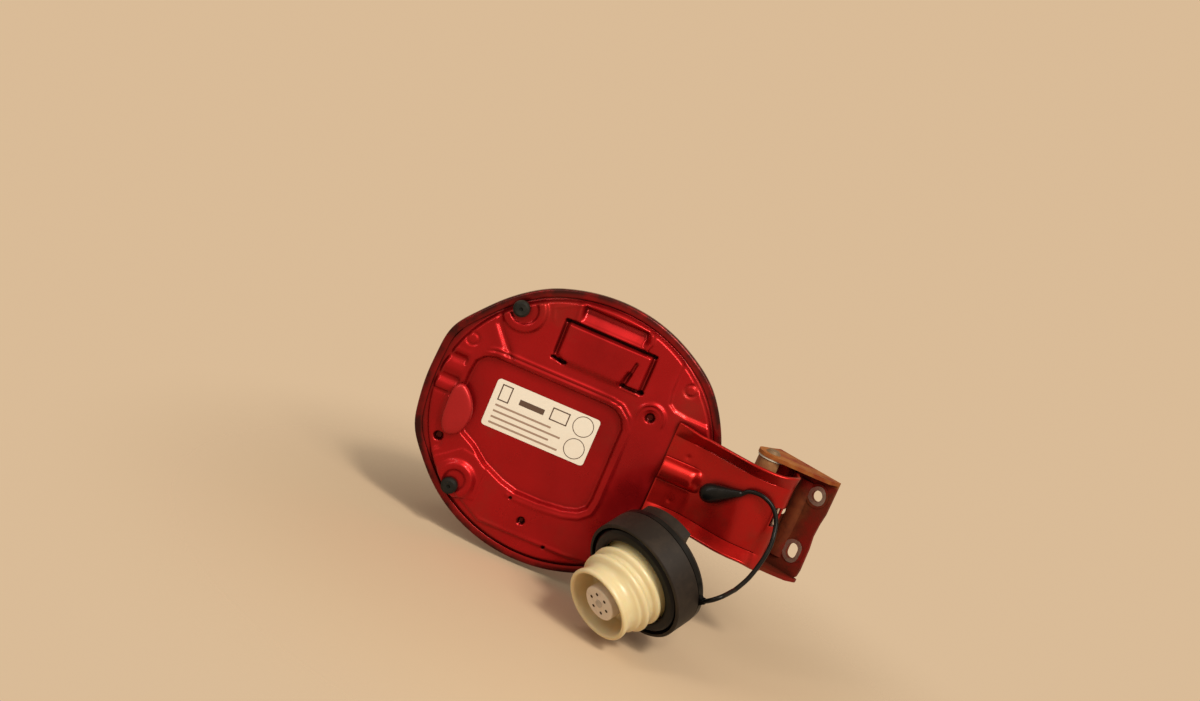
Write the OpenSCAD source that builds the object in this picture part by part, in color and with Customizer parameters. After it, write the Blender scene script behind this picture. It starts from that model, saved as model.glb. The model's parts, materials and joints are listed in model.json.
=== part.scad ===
// Round car fuel door, inner side, with its gooseneck hinge, body bracket, tether and fuel filler cap.
// Millimetres. Row frame: origin in the middle of the bracket's upper bolt hole, +X from the door toward the
// bracket, +Z along the hinge axis (up), the door's inner side faces -Y. All forms are drawn in the door's own
// axes (origin at the middle of the door, y = 0 on the inner panel's face) and moved to the row frame once.

/* [Door] */
// Half width of the round door
door_half_x = 89.9; // [75:0.1:110]
// Half height of the round door
door_half_z = 83.8; // [72:0.1:100]
// Middle of the door's outline, across
door_mid_x = 0.6; // [-1:0.1:1]
// Middle of the door's outline, up
door_mid_z = -1.2; // [-2:0.1:1]
// Sheet of the outer skin
skin_t = 0.8; // [0.7:0.1:1]
// How far the outside lies behind the inner panel's face
skin_depth = 9.5; // [9:0.1:12]
// Width of the hem folded over the inner panel
hem_w = 4.6; // [4:0.1:5.4]
// Depth of the hem behind the inner panel's face
hem_y = 3.1; // [3:0.1:3.2]
// Sheet of the inner panel
panel_t = 0.8; // [0.6:0.1:0.9]
// Depth of the inner panel's edge flange
panel_edge_drop = 4; // [3.95:0.05:4.2]
// Depth of the large recess
recess_depth = 4.2; // [3.6:0.1:5]

/* [Hinge] */
// From the door's widest point to the hinge pin
pin_gap = 24.6; // [24:0.1:30]
// Depth of the pin behind the inner panel's face
pin_y = 7; // [6.8:0.1:7.2]
// Radius of the hinge pin
pin_r = 3.4; // [3:0.1:3.6]
// Sheet of the gooseneck arm
arm_t = 1.6; // [1.4:0.1:1.8]
// Height of the arm's middle line
arm_mid_z = 3; // [2.5:0.1:3.5]
// Half width of the arm between its flanges
web_half = 21; // [20:0.1:21.5]
// Width of each arm flange
flange_w = 8.3; // [7:0.1:8.6]
// Radius of the rolled knuckle, to the middle of the sheet
knuckle_r = 6.8; // [6.8:0.1:7]

/* [Bracket] */
// Place of the bolts along the plate
bolt_u = 34.4; // [33:0.1:35]
// Height of the upper bolt hole
bolt_high = 22.6; // [21:0.1:24]
// Height of the lower bolt slot
bolt_low = -13.4; // [-15:0.1:-12]
// Radius of the bolt holes
bolt_r = 3.3; // [3.2:0.05:3.4]
// Length of the lower slot
slot_len = 9.2; // [8:0.1:10]
// Sheet of the bracket
plate_t = 2.2; // [2:0.1:2.4]
// Top of the upper ear
ear_top = 35.7; // [35.5:0.1:38]
// Underside of the lower ear
ear_low = -29.7; // [-32:0.1:-29.5]
// Sheet of the ears
ear_t = 2.2; // [2:0.1:2.3]

/* [Cap] */
// Which way the threaded end points
cap_axis = [-0.518, -0.674, -0.526]; // [-1:0.001:1]
// Radius of the cover
cover_r = 35; // [33:0.5:40]
// Length of the cover's side, up to the tether's ring
band_len = 16.4; // [16:0.1:18]
// Wall of the cover's skirt
skirt_t = 2; // [1.6:0.1:2.4]
// Reach of the threaded body in front of the skirt
body_len = 27.8; // [27:0.1:30]
// Radius of the body's end lip
lip_r = 21.7; // [21.4:0.1:22.4]
// Radius inside the threaded body
bore_r = 18.9; // [18:0.1:19.2]
// Radius of the tether strap
cord_r = 1.35; // [1.2:0.05:1.4]

/* [Fineness] */
// Facets of small round parts
fine = 48; // [36:4:64]
// Facets of large round parts
round_fine = 72; // [60:6:96]

/* [Hidden] */
// the pin keeps its distance from the door's rim, and the bracket and the cap keep theirs from the pin
pin_x = door_half_x + pin_gap;
plate_far = [pin_x + 5.5, 26];
plate_near = [pin_x + 42.5, 3];
plate_len = norm(plate_near - plate_far);
bracket_u = (plate_near - plate_far) / plate_len;
bracket_n = [bracket_u[1], -bracket_u[0]];
origin2 = plate_far + bracket_u * bolt_u + bracket_n * (plate_t + 0.2) / 2;
row_origin = [origin2[0], origin2[1], bolt_high];
cap_at = [pin_x - 49.4, -55.5, -49.3];
skirt_in = cover_r - skirt_t;
arm_top = arm_mid_z + web_half + flange_w;
arm_low = arm_mid_z - web_half - flange_w;
// the panel's pressings keep their share of the door
share_x = door_half_x / 89.9;
share_z = door_half_z / 83.8;
function on_door(p) = [p[0] * share_x, p[1] * share_z];
function all_on_door(list) = [for (p = list) on_door(p)];

// Shared shapes
function oval(a, b, n = 96) = [for (i = [0:n - 1]) [a * cos(i * 360 / n), b * sin(i * 360 / n)]];

module to_row() {
    translate(-row_origin) children();
}

// A drawing in X and Z, raised toward the viewer
module panel_frame() {
    rotate([90, 0, 0]) children();
}

module door_oval(inset = 0) {
    translate([door_mid_x, door_mid_z]) polygon(oval(door_half_x - inset, door_half_z - inset));
}

// The rim bulges a little where the hem is clinched: angle, height
BUMPS = [[118, 0.5], [159, 2.8], [202, 2], [44, 0.8]];

module skin_oval(inset = 0) {
    door_oval(inset);
    for (b = BUMPS) translate([
        door_mid_x + (door_half_x + b[1] - 14) * cos(b[0]),
        door_mid_z + (door_half_z + b[1] - 14) * sin(b[0])
    ]) circle(r = 14 - inset, $fn = round_fine);
}

module slot2(a, b, w) {
    hull() {
        translate(a) circle(d = w, $fn = 24);
        translate(b) circle(d = w, $fn = 24);
    }
}

module at_cap() {
    tilt = acos(cap_axis[2] / norm(cap_axis));
    turn = atan2(cap_axis[1], cap_axis[0]);
    translate(cap_at) rotate([0, tilt, turn]) children();
}

// Outer skin: the painted outside of the door, with its rim and the hem folded over the inner panel
module outer_skin() {
    color([0.62, 0.06, 0.05]) to_row() panel_frame() {
        translate([0, 0, -skin_depth]) linear_extrude(skin_t) skin_oval(1.2);
        translate([0, 0, -skin_depth + skin_t / 2]) linear_extrude(1.2) difference() {
            skin_oval(0.5);
            skin_oval(skin_t + 1.4);
        }
        translate([0, 0, -skin_depth + 1.2]) linear_extrude(skin_depth - 1.2 - hem_y) difference() {
            skin_oval(0);
            skin_oval(skin_t);
        }
        translate([0, 0, -hem_y - skin_t]) linear_extrude(skin_t) difference() {
            skin_oval(0);
            door_oval(hem_w);
        }
    }
}

// Inner panel
RECESS = all_on_door([
    [-65.9, 18], [-61.8, 22.6], [-55.8, 24.6], [-39.9, 24.6], [14.9, 24.6], [20.9, 23.6], [25.9, 19.5],
    [28.5, 13.9], [28.8, -31.6], [27.8, -37.9], [23.3, -42.1], [15.2, -44.6], [0.1, -46.3], [-15.1, -46.3],
    [-25.2, -43.7], [-38.3, -37.9], [-48.3, -30.1], [-57.4, -25.4], [-64.3, -15], [-67.1, -0.5], [-67, 9.8]
]);
POCKET = all_on_door([
    [-17.8, 73], [-17, 66.5], [-15, 63.4], [18, 63.4], [20, 67], [19.6, 71.5], [17, 74.2], [-15, 74.2]
]);
STEP = all_on_door([
    [45.8, 60], [46, 46.9], [47.6, 39.5], [51.6, 36.8], [59.5, 35.8], [74.4, 35.8], [68, 48], [60, 56.5], [52, 62.5]
]);
HOLES = [[40.2, 27.1, 5.4], [-69.4, -32.6, 4.6], [-5.2, -60.4, 4.4]];
BUMPERS = all_on_door([[-52.5, 57.3], [-52, -56.5]]);
BRIDGE = [on_door([-23.4, 39.4]), on_door([26.6, 60.2])];

module recess2(grow = 0) {
    offset(r = grow) offset(r = 3) offset(delta = -3) polygon(RECESS);
}

module holder_slots2() {
    for (p = [[-25.4, 29.3, 61.3], [-25.4, -17.6, 38.2], [17.4, 29.9, 38.6]])
        slot2(on_door([p[0], p[2]]), on_door([p[1], p[2]]), 1.8);
}

module panel_holes2() {
    for (h = HOLES) translate(on_door(h)) circle(d = h[2], $fn = 24);
    for (b = BUMPERS) translate(b) circle(d = 4.4, $fn = 24);
}

module inner_panel() {
    color([0.66, 0.07, 0.06]) to_row() panel_frame() {
        // flat face
        translate([0, 0, -panel_t]) linear_extrude(panel_t) difference() {
            door_oval(6.2);
            recess2(0);
            polygon(POCKET);
            polygon(STEP);
            holder_slots2();
            panel_holes2();
        }
        // edge wall and the flange that the hem holds
        translate([0, 0, -panel_edge_drop]) linear_extrude(panel_edge_drop) difference() {
            door_oval(6.2);
            door_oval(7);
            translate(BUMPERS[0]) circle(r = 3.2, $fn = 24);
        }
        translate([0, 0, -panel_edge_drop - panel_t]) linear_extrude(panel_t) difference() {
            door_oval(1);
            door_oval(7);
        }
        // main recess: wall and floor
        translate([0, 0, -recess_depth]) linear_extrude(recess_depth) difference() {
            recess2(0.8);
            recess2(0);
        }
        translate([0, 0, -recess_depth - panel_t]) linear_extrude(panel_t) recess2(0.8);
        // raised bead around the recess's upper edge
        linear_extrude(0.9) intersection() {
            difference() {
                recess2(4.6);
                recess2(1.2);
            }
            translate(on_door([-50, 20])) square(on_door([82, 14]));
        }
        // pressed pocket above the cap holder
        translate([0, 0, -2.4]) linear_extrude(2.4) difference() {
            offset(r = 0.8) polygon(POCKET);
            polygon(POCKET);
        }
        translate([0, 0, -2.4 - panel_t]) linear_extrude(panel_t) offset(r = 0.8) polygon(POCKET);
        // stepped corner by the hinge
        translate([0, 0, -1.4]) linear_extrude(1.4) difference() {
            offset(delta = 0.8) polygon(STEP);
            polygon(STEP);
        }
        translate([0, 0, -1.4 - panel_t]) linear_extrude(panel_t) offset(delta = 0.8) polygon(STEP);
        // cap holder's bridge, lanced and raised between its slots
        for (x = [BRIDGE[0][0], BRIDGE[1][0] - 2.6]) translate([x, BRIDGE[0][1], 0])
            cube([2.6, BRIDGE[1][1] - BRIDGE[0][1], 3.2]);
        translate([BRIDGE[0][0], BRIDGE[0][1], 2.4])
            cube([BRIDGE[1][0] - BRIDGE[0][0], BRIDGE[1][1] - BRIDGE[0][1], 0.8]);
        // seats of the two bumpers and the ring around the plain hole
        for (b = BUMPERS) translate([b[0], b[1], 0]) linear_extrude(1.5) difference() {
            circle(r = 9.4, $fn = fine);
            circle(d = 4.4, $fn = 24);
        }
        translate(on_door(HOLES[0])) linear_extrude(0.9) difference() {
            circle(r = 7, $fn = fine);
            circle(r = 4.6, $fn = fine);
        }
        // marks of two spot welds, one of them on the floor of the step
        for (w = [[-71.8, 29.4, 0], [55.9, 51.1, -1.4]]) translate(concat(on_door(w), w[2])) linear_extrude(0.3)
            difference() {
                circle(r = 3.6, $fn = 24);
                circle(r = 2.8, $fn = 24);
            }
        // stiffening ribs at the latch side
        for (z = [-1.5, 12]) translate(concat(on_door([-82.4, z]), 0)) rotate([0, 90, 0]) intersection() {
            cylinder(r = 2.4, h = 12.4 * share_x, $fn = 32);
            translate([-4, -4, 0]) cube([4, 8, 13 * share_x]);
        }
        // fold along the lower edge
        translate(concat(on_door([-29, -71.4]), 0)) cube([54 * share_x, 1.2, 0.9]);
    }
}

// Latch striker: a smooth pressed tab that reaches over the recess
TONGUE = all_on_door([
    [-71.3, 1], [-68, 2.2], [-63.8, 1], [-57.9, -5.7], [-56, -13.9], [-57.1, -22.2], [-62.2, -26.9],
    [-67.2, -26.9], [-70.6, -22.2], [-71.5, -9.8]
]);

module striker_tongue() {
    color([0.6, 0.07, 0.06]) to_row() panel_frame() {
        translate([0, 0, 2.6]) linear_extrude(1.2) offset(r = 1.5) offset(delta = -1.5) polygon(TONGUE);
        translate([0, 0, 3.8]) linear_extrude(0.6) offset(delta = -2.2) polygon(TONGUE);
        // its two legs, welded to the panel beside the recess
        translate(concat(on_door([-71.4, -20]), 0.05)) cube([1.2, 14.6 * share_z, 2.6]);
        translate(concat(on_door([-76.5, -20]), 0.05)) cube([5.1 * share_x + 0.5, 14.6 * share_z, 1]);
    }
}

// Label: a plain self-adhesive plate on the recess floor, its face left without text
module label() {
    color([0.93, 0.88, 0.8]) to_row() panel_frame() translate([0, 0, -recess_depth + 0.02])
        linear_extrude(0.25) offset(r = 2.2, $fn = 32) translate(on_door([-47.3, -14.1])) square(on_door([60.4, 25.2]));
}

// Rubber stop with a head, a neck and a barbed stem through the panel
module bumper(at) {
    color([0.13, 0.13, 0.12]) to_row() panel_frame() translate([at[0], at[1], 1.55]) rotate_extrude($fn = fine)
        polygon([
            [0, 3.4], [0.9, 3.4], [1.2, 4.4], [3.4, 4.4], [4.7, 3.3], [5, 1], [4.6, 0], [2.1, 0], [2.1, -2.6],
            [2.9, -3], [1.4, -4.6], [0, -4.6]
        ]);
}

module bumper_upper() {
    bumper(BUMPERS[0]);
}

module bumper_lower() {
    bumper(BUMPERS[1]);
}

// Gooseneck arm: one open channel swept along its path, then rolled around the pin
// station: x, y, flare of the flange toward the viewer (0 is flat, 1 is 45 degrees), half width of the web
ARM = concat(
    [for (p = [[-57.5, -0.85, 0.2], [-48.5, -0.85, 0.8], [-38.5, -0.85, 1], [-35.5, -1.7, 1], [-23.5, -8, 1],
               [-12.5, -13.6, 1], [-9.5, -15, 1], [-5.5, -15.9, 1], [3.5, -16.2, 1], [9.5, -16.1, 0.85]])
        [pin_x + p[0], p[1], p[2], web_half]],
    [for (a = [-75:15:0]) [pin_x + 9.9 + 6.6 * cos(a), -9.5 + 6.6 * sin(a), -0.62 * a / 75, web_half]],
    [[pin_x + 16.5, 0, 0, web_half]],
    [for (a = [0:15:90]) [pin_x + 9.9 + 6.6 * cos(a), 7.2 + 6.6 * sin(a), 0, web_half]],
    [[pin_x + 4.5, pin_y + knuckle_r, 0, web_half], [pin_x, pin_y + knuckle_r, 0, web_half]],
    [for (a = [99:9:315]) [pin_x + knuckle_r * cos(a), pin_y + knuckle_r * sin(a), 0, web_half]]
);
arm_n = len(ARM);

function arm_dir(i) = let (
    a = ARM[max(i - 1, 0)],
    b = ARM[min(i + 1, arm_n - 1)],
    d = [b[0] - a[0], b[1] - a[1]]
) d / norm(d);

// One section: eight points, first the viewer's side from low to high, then the other side back
function arm_section(i) = let (
    p = ARM[i],
    d = arm_dir(i),
    n = [d[1], -d[0]],
    e = p[2] * 45,
    dz = flange_w * (1 + 0.3 * sin(e)) * cos(e),
    dn = flange_w * (1 + 0.3 * sin(e)) * sin(e),
    h = arm_t / 2
) [
    for (q = [[-p[3] - dz, dn + h], [-p[3], h], [p[3], h], [p[3] + dz, dn + h],
              [p[3] + dz, dn - h], [p[3], -h], [-p[3], -h], [-p[3] - dz, dn - h]])
    [p[0] + n[0] * q[1], p[1] + n[1] * q[1], arm_mid_z + q[0]]
];

module arm_sheet() {
    pts = [for (i = [0:arm_n - 1]) each arm_section(i)];
    sides = [for (i = [0:arm_n - 2]) for (k = [0:7]) let (
        a = i * 8 + k,
        b = i * 8 + (k + 1) % 8
    ) each [[a, b, a + 8], [b, b + 8, a + 8]]];
    first = [[0, 7, 6], [0, 6, 1], [1, 6, 5], [1, 5, 2], [2, 5, 4], [2, 4, 3]];
    e = (arm_n - 1) * 8;
    last = [for (f = first) [f[0] + e, f[2] + e, f[1] + e]];
    polyhedron(points = pts, faces = concat(sides, first, last));
}

module hinge_arm() {
    color([0.58, 0.06, 0.05]) to_row() {
        difference() {
            arm_sheet();
            // window in the crest and the rib's clearance under the foot
            translate([pin_x + 10.3, -22, -0.6]) cube([9, 15.5, 13]);
            translate([pin_x - 58.5, 0.2, arm_mid_z + 1]) rotate([0, 90, 0]) cylinder(r = 5.2, h = 24, $fn = 32);
            // seat of the tether's plug
            translate([pin_x - 25.5, 0, 3]) rotate([90, 0, 0]) cylinder(r = 2.6, h = 30, $fn = 24);
        }
        // half round rib between the two welded feet
        difference() {
            translate([pin_x - 57.5, 0.2, arm_mid_z + 1]) rotate([0, 90, 0]) cylinder(r = 6.6, h = 24.5, $fn = 40);
            translate([pin_x - 58.5, 0.2, arm_mid_z + 1]) rotate([0, 90, 0]) cylinder(r = 5, h = 24.2, $fn = 40);
            translate([pin_x - 64.5, -0.1, -20]) cube([40, 20, 50]);
        }
    }
}

// Body bracket: a bent base plate with an ear at each end, bolted to the body
// Drawing along the plate (u, z), raised from its far face toward the viewer
module on_plate() {
    translate([plate_far[0], plate_far[1], 0])
        multmatrix([
            [bracket_u[0], 0, bracket_n[0], 0],
            [bracket_u[1], 0, bracket_n[1], 0],
            [0, 1, 0, 0],
            [0, 0, 0, 1]
        ]) children();
}

module ear2() {
    near = plate_near + bracket_n * plate_t;
    difference() {
        union() {
            translate([pin_x, pin_y]) circle(r = 8.6, $fn = fine);
            polygon([
                [pin_x, pin_y - 8.6], [pin_x + 15.5, -2.4], [pin_x + 26.5, -3], [pin_x + 35.5, -2.6], near,
                plate_near, plate_far, [pin_x + 0.5, 19.8], [pin_x - 5.4, pin_y + 6.7]
            ]);
        }
        translate([pin_x, pin_y]) circle(r = pin_r + 0.05, $fn = fine);
    }
}

module hinge_bracket() {
    color([0.5, 0.14, 0.08]) to_row() {
        difference() {
            union() {
                on_plate() linear_extrude(plate_t) polygon([
                    [0, ear_low], [plate_len - 9, ear_low], [plate_len - 3, ear_low + 0.8],
                    [plate_len - 0.6, ear_low + 3.6], [plate_len, ear_low + 8], [plate_len - 0.4, -8],
                    [plate_len - 1.4, 0], [plate_len - 1, 8], [plate_len, 15], [plate_len, ear_top - 1.6],
                    [plate_len - 1.4, ear_top], [0, ear_top]
                ]);
                // upright ridge that stiffens the plate
                on_plate() intersection() {
                    translate([24.6, -21, plate_t - 4.6]) rotate([-90, 0, 0]) cylinder(r = 6.6, h = 49, $fn = fine);
                    translate([15, -25, 0.1]) cube([20, 56, 8]);
                }
                // raised pads under the bolt heads
                for (z = [bolt_low, bolt_high]) on_plate() translate([bolt_u, z, 0])
                    cylinder(r = 7.3, h = plate_t + 0.35, $fn = fine);
            }
            on_plate() translate([bolt_u, bolt_high, -1]) cylinder(r = bolt_r, h = 8, $fn = 40);
            on_plate() translate([bolt_u, bolt_low, -1]) linear_extrude(8)
                slot2([0, -(slot_len / 2 - bolt_r)], [0, slot_len / 2 - bolt_r], 2 * bolt_r);
            // drain hole beside the ridge, seen through the arm's window
            on_plate() translate([17.2, 4.8, -1]) cylinder(r = 2.9, h = 8, $fn = 32);
        }
        translate([0, 0, ear_top - ear_t]) linear_extrude(ear_t) ear2();
        translate([0, 0, ear_low]) linear_extrude(ear_t) ear2();
    }
}

module hinge_pin() {
    color([0.55, 0.53, 0.5]) to_row() translate([pin_x, pin_y, 0]) {
        translate([0, 0, ear_low - 1.4]) cylinder(r = pin_r, h = ear_top - ear_low + 1.6, $fn = fine);
        translate([0, 0, ear_low - 2.4]) cylinder(r = 5, h = 2.4, $fn = fine);
        translate([0, 0, ear_top + 0.02]) cylinder(r1 = 4.6, r2 = 3.2, h = 1.6, $fn = fine);
    }
}

// Flanged plastic bush
module bush() {
    difference() {
        union() {
            cylinder(r = knuckle_r - arm_t / 2 - 0.06, h = 12, $fn = fine);
            translate([0, 0, 11.3]) cylinder(r = 8.2, h = 1.1, $fn = fine);
        }
        translate([0, 0, -1]) cylinder(r = pin_r + 0.05, h = 20, $fn = fine);
    }
}

module hinge_bush_upper() {
    color([0.75, 0.73, 0.66]) to_row() translate([pin_x, pin_y, arm_top - 11.25]) bush();
}

module hinge_bush_lower() {
    color([0.75, 0.73, 0.66]) to_row() translate([pin_x, pin_y, arm_low + 11.25]) mirror([0, 0, 1]) bush();
}

// Coil spring around the pin; its straight leg leaves through the open side of the knuckle, crosses to the
// bend and lies upright behind the window
module hinge_spring() {
    coil = helix(4.72, 0.2, 2.24, 5, 20, 26.5, -1);
    color([0.72, 0.7, 0.67]) to_row() translate([pin_x, pin_y, 0])
        tube(concat(coil, [[13.3, -16.1, 11.4], [13.52, -16.5, 11.2], [13.6, -16.6, 10.7], [14.45, -17.1, -6]]), 1.02, 10);
}

// Tether anchor: a soft teardrop head with a plug through the arm
module tether_anchor() {
    color([0.12, 0.12, 0.12]) to_row() {
        hull() {
            translate([pin_x - 26.3, -12.8, 3.6]) sphere(r = 4.7, $fn = 28);
            translate([pin_x - 24.5, -13.4, 4.6]) sphere(r = 4.4, $fn = 28);
            translate([pin_x - 11.1, -17.6, 11.4]) sphere(r = 1.7, $fn = 20);
        }
        translate([pin_x - 25.5, 0.5, 3]) rotate([90, 0, 0]) cylinder(r = 2.5, h = 12, $fn = 24);
        translate([pin_x - 25.5, 2, 3]) rotate([90, 0, 0]) cylinder(r1 = 2, r2 = 3.4, h = 2.4, $fn = 24);
    }
}

// Tether: a soft plastic strap from the anchor, in a loop past the bend, to the lug of the cap's ring
// its route counts from the pin across, then in depth and height
ROUTE = [
    [-9.62, -18.14, 12.22], [-7.1, -18.9, 14.8], [-2.4, -20.2, 16.1], [2.3, -21.2, 15.8], [7.2, -21.9, 13.7],
    [11.1, -22.6, 10.2], [13.9, -24, 5], [15.1, -27, -1.3], [15.2, -31, -6.2], [14.2, -35.5, -11],
    [12.6, -40.5, -15.6], [10.6, -45.5, -20.1], [8.1, -50.6, -24.4], [4, -57, -29.4], [1.9, -60.9, -30.5],
    [-0.3, -64.8, -31.6], [-2.47, -68.42, -32.57], [-4.07, -69.78, -33.7], [-5.93, -70.28, -35.29],
    [-7.67, -69.77, -37]
];
lug_at = 85;
lug_z = -band_len - 1.55;
// A point given around the cap's axis, in the door's axes
function from_cap(p) = let (
    w = cap_axis / norm(cap_axis),
    tilt = acos(w[2]),
    turn = atan2(w[1], w[0]),
    a = [p[0] * cos(tilt) + p[2] * sin(tilt), p[1], -p[0] * sin(tilt) + p[2] * cos(tilt)]
) cap_at + [a[0] * cos(turn) - a[1] * sin(turn), a[0] * sin(turn) + a[1] * cos(turn), a[2]];
function on_lug(r, t) = from_cap([r * cos(lug_at) - t * sin(lug_at), r * sin(lug_at) + t * cos(lug_at), lug_z]);
CORD = concat([for (p = ROUTE) [pin_x + p[0], p[1], p[2]]],
              [on_lug(cover_r + 3.9, 4.3), on_lug(cover_r + 2.82, 3.22)]);

function helix(r, low, pitch, turns, n = 18, end = 0, way = 1) = [
    for (i = [0:turns * n]) let (a = end + way * (i - turns * n) * 360 / n) [r * cos(a), r * sin(a), low + i * pitch / n]
];

// One round tube through the given points, with flat ends
module tube(points, r, sides = 14) {
    n = len(points);
    pts = [for (i = [0:n - 1]) let (
        d = points[min(i + 1, n - 1)] - points[max(i - 1, 0)],
        w = d / norm(d),
        a = cross(w, [0, 0, 1] + 0.001 * [1, 0, 0]),
        u = norm(a) > 0.05 ? a / norm(a) : [1, 0, 0],
        v = cross(w, u)
    ) each [for (k = [0:sides - 1]) points[i] + r * (cos(k * 360 / sides) * u + sin(k * 360 / sides) * v)]];
    walls = [for (i = [0:n - 2]) for (k = [0:sides - 1]) let (
        a = i * sides + k,
        b = i * sides + (k + 1) % sides
    ) each [[a, a + sides, b], [b, a + sides, b + sides]]];
    first = [for (k = [1:sides - 2]) [0, k, k + 1]];
    e = (n - 1) * sides;
    last = [for (k = [1:sides - 2]) [e, e + k + 1, e + k]];
    polyhedron(points = pts, faces = concat(walls, first, last));
}

module tether_cord() {
    color([0.14, 0.13, 0.13]) to_row() tube(CORD, cord_r);
}

// Cap, drawn about its own axis: z = 0 at the skirt's front edge, threaded end at +z
module tether_ring() {
    color([0.13, 0.13, 0.13]) to_row() at_cap() translate([0, 0, -band_len - 3]) {
        difference() {
            cylinder(r = cover_r - 0.2, h = 2.9, $fn = round_fine);
            translate([0, 0, -1]) cylinder(r = cover_r - 4.6, h = 5, $fn = round_fine);
        }
        // lug that runs into the strap, half way between straight out and along the rim
        rotate(lug_at) translate([cover_r, 0, 0.1]) linear_extrude(2.7)
            polygon([[-1.2, -3], [0.6, -0.9], [3.75, 2.25], [1.85, 4.15], [0.5, 3.6], [-0.7, 5]]);
    }
}

// The grip's outline: a wide bar with a slight waist, its ends on the cover's rim
module grip2(inset = 0) {
    difference() {
        circle(r = cover_r - 2 - inset, $fn = round_fine);
        for (y = [-76.2, 76.2]) translate([0, y]) circle(r = 66.2 + inset, $fn = 144);
    }
}

module cap_cover() {
    crown = -band_len - 5.1;
    color([0.22, 0.18, 0.16]) to_row() at_cap() {
        difference() {
            union() {
                rotate_extrude($fn = round_fine) polygon([
                    [skirt_in, 0], [cover_r - 0.5, 0], [cover_r, -0.6], [cover_r, 0.6 - band_len],
                    [cover_r - 0.5, -band_len], [cover_r - 5, -band_len], [cover_r - 5, -band_len - 3.1],
                    [cover_r - 1.6, -band_len - 3.1], [cover_r - 1.2, -band_len - 3.6], [cover_r - 1.8, crown],
                    [0, crown], [0, crown + 2.2], [cover_r - 7.2, crown + 2.2], [cover_r - 7.2, -band_len + 2.2],
                    [skirt_in - 1, -band_len + 2.2], [skirt_in, -band_len + 3.2]
                ]);
                // grip across the back
                translate([0, 0, crown - 6]) linear_extrude(6.1) grip2();
            }
            // the grip is hollow and open to the inside
            translate([0, 0, crown - 4]) linear_extrude(7) grip2(2.2);
        }
        // ring that carries the ratchet and the seat of its spring
        for (r = [[15.4, 13.4, -10], [22, 18, -15.9]]) translate([0, 0, crown + 2.1]) difference() {
            cylinder(r = r[0], h = r[2] - crown - 2.1, $fn = fine);
            translate([0, 0, -1]) cylinder(r = r[1], h = 15, $fn = fine);
        }
    }
}

module cap_gasket() {
    r = skirt_in - 1.2;
    color([0.05, 0.05, 0.06]) to_row() at_cap() rotate_extrude($fn = round_fine)
        polygon([[24.6, -3.4], [r - 0.8, -3.4], [r, -2.4], [r, -0.6], [r - 1.8, 0.6], [24.6, 0.6]]);
}

module cap_body() {
    color([0.88, 0.78, 0.58]) to_row() at_cap() {
        // threaded shell with its lip, neck and two ridges
        rotate_extrude($fn = round_fine) polygon([
            [bore_r, body_len], [bore_r, 12], [11.8, 12], [11.8, 7.4], [16, 7.4], [16, -4], [skirt_in - 2.4, -4],
            [skirt_in - 2.4, -3.5], [24.2, -3.5], [23.4, 1.6], [24, 2.8], [24.8, 4.4], [24.8, 6], [24, 7.4],
            [22.9, 8.8], [22.9, 9.8], [23.6, 11], [24.3, 12.6], [24.3, 14.2], [23.4, 15.8], [21.6, 17.4],
            [20.3, 19], [20, 20.6], [20.3, 22.4], [lip_r - 0.5, body_len - 3.6], [lip_r, body_len - 2.4],
            [lip_r, body_len - 0.8], [lip_r - 0.7, body_len]
        ]);
        // cup that holds the valve and turns in the cover
        translate([0, 0, -14]) difference() {
            cylinder(r = 13, h = 21.4, $fn = fine);
            translate([0, 0, 2]) cylinder(r = 11.4, h = 30, $fn = fine);
        }
        translate([0, 0, -4]) difference() {
            cylinder(r = 17, h = 1.6, $fn = fine);
            translate([0, 0, -1]) cylinder(r = 12.5, h = 4, $fn = fine);
        }
    }
}

module ratchet_ring() {
    color([0.85, 0.84, 0.8]) to_row() at_cap() translate([0, 0, -9.6]) difference() {
        union() {
            cylinder(r = 24, h = 2.6, $fn = fine);
            for (k = [0:23]) rotate(k * 15) translate([24, 0, 0]) linear_extrude(2.6)
                polygon([[-1, -2.6], [1.6, -2.6], [-1, 2.4]]);
        }
        translate([0, 0, -1]) cylinder(r = 15.6, h = 5, $fn = fine);
    }
}

module ratchet_spring() {
    color([0.7, 0.7, 0.68]) to_row() at_cap() for (k = [0:1]) translate([0, 0, -14.6 + k * 1.7])
        rotate_extrude($fn = fine) translate([20, 0]) circle(r = 0.8, $fn = 16);
}

// Valve housing: a tall hollow cup that ends just inside the lip, its face with six small holes
module valve_retainer() {
    face = body_len - 2;
    color([0.9, 0.87, 0.82]) to_row() at_cap() difference() {
        union() {
            translate([0, 0, 9.6]) cylinder(r = 11.4, h = 3.8, $fn = fine);
            translate([0, 0, 9.6]) cylinder(r = 10.4, h = face - 10, $fn = fine);
            translate([0, 0, face - 0.5]) cylinder(r1 = 10.4, r2 = 9.9, h = 0.5, $fn = fine);
            translate([0, 0, face - 0.1]) cylinder(r = 2.4, h = 0.5, $fn = fine);
        }
        translate([0, 0, 8.6]) cylinder(r = 6, h = 4, $fn = fine);
        translate([0, 0, 12]) cylinder(r = 8.6, h = face - 13.8, $fn = fine);
        for (k = [0:5]) rotate(k * 60 + 15) translate([6, 0, 8]) cylinder(r = 0.75, h = 30, $fn = 16);
    }
}

// Relief disc: the spring holds it against the retainer, pressure in the tank lifts it toward the cover
module pressure_valve() {
    color([0.16, 0.16, 0.16]) to_row() at_cap() difference() {
        union() {
            translate([0, 0, 7.7]) cylinder(r = 10.6, h = 1.85, $fn = fine);
            translate([0, 0, 4]) cylinder(r = 4.6, h = 4, $fn = fine);
        }
        translate([0, 0, 3]) cylinder(r = 1.6, h = 9, $fn = 32);
    }
}

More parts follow.
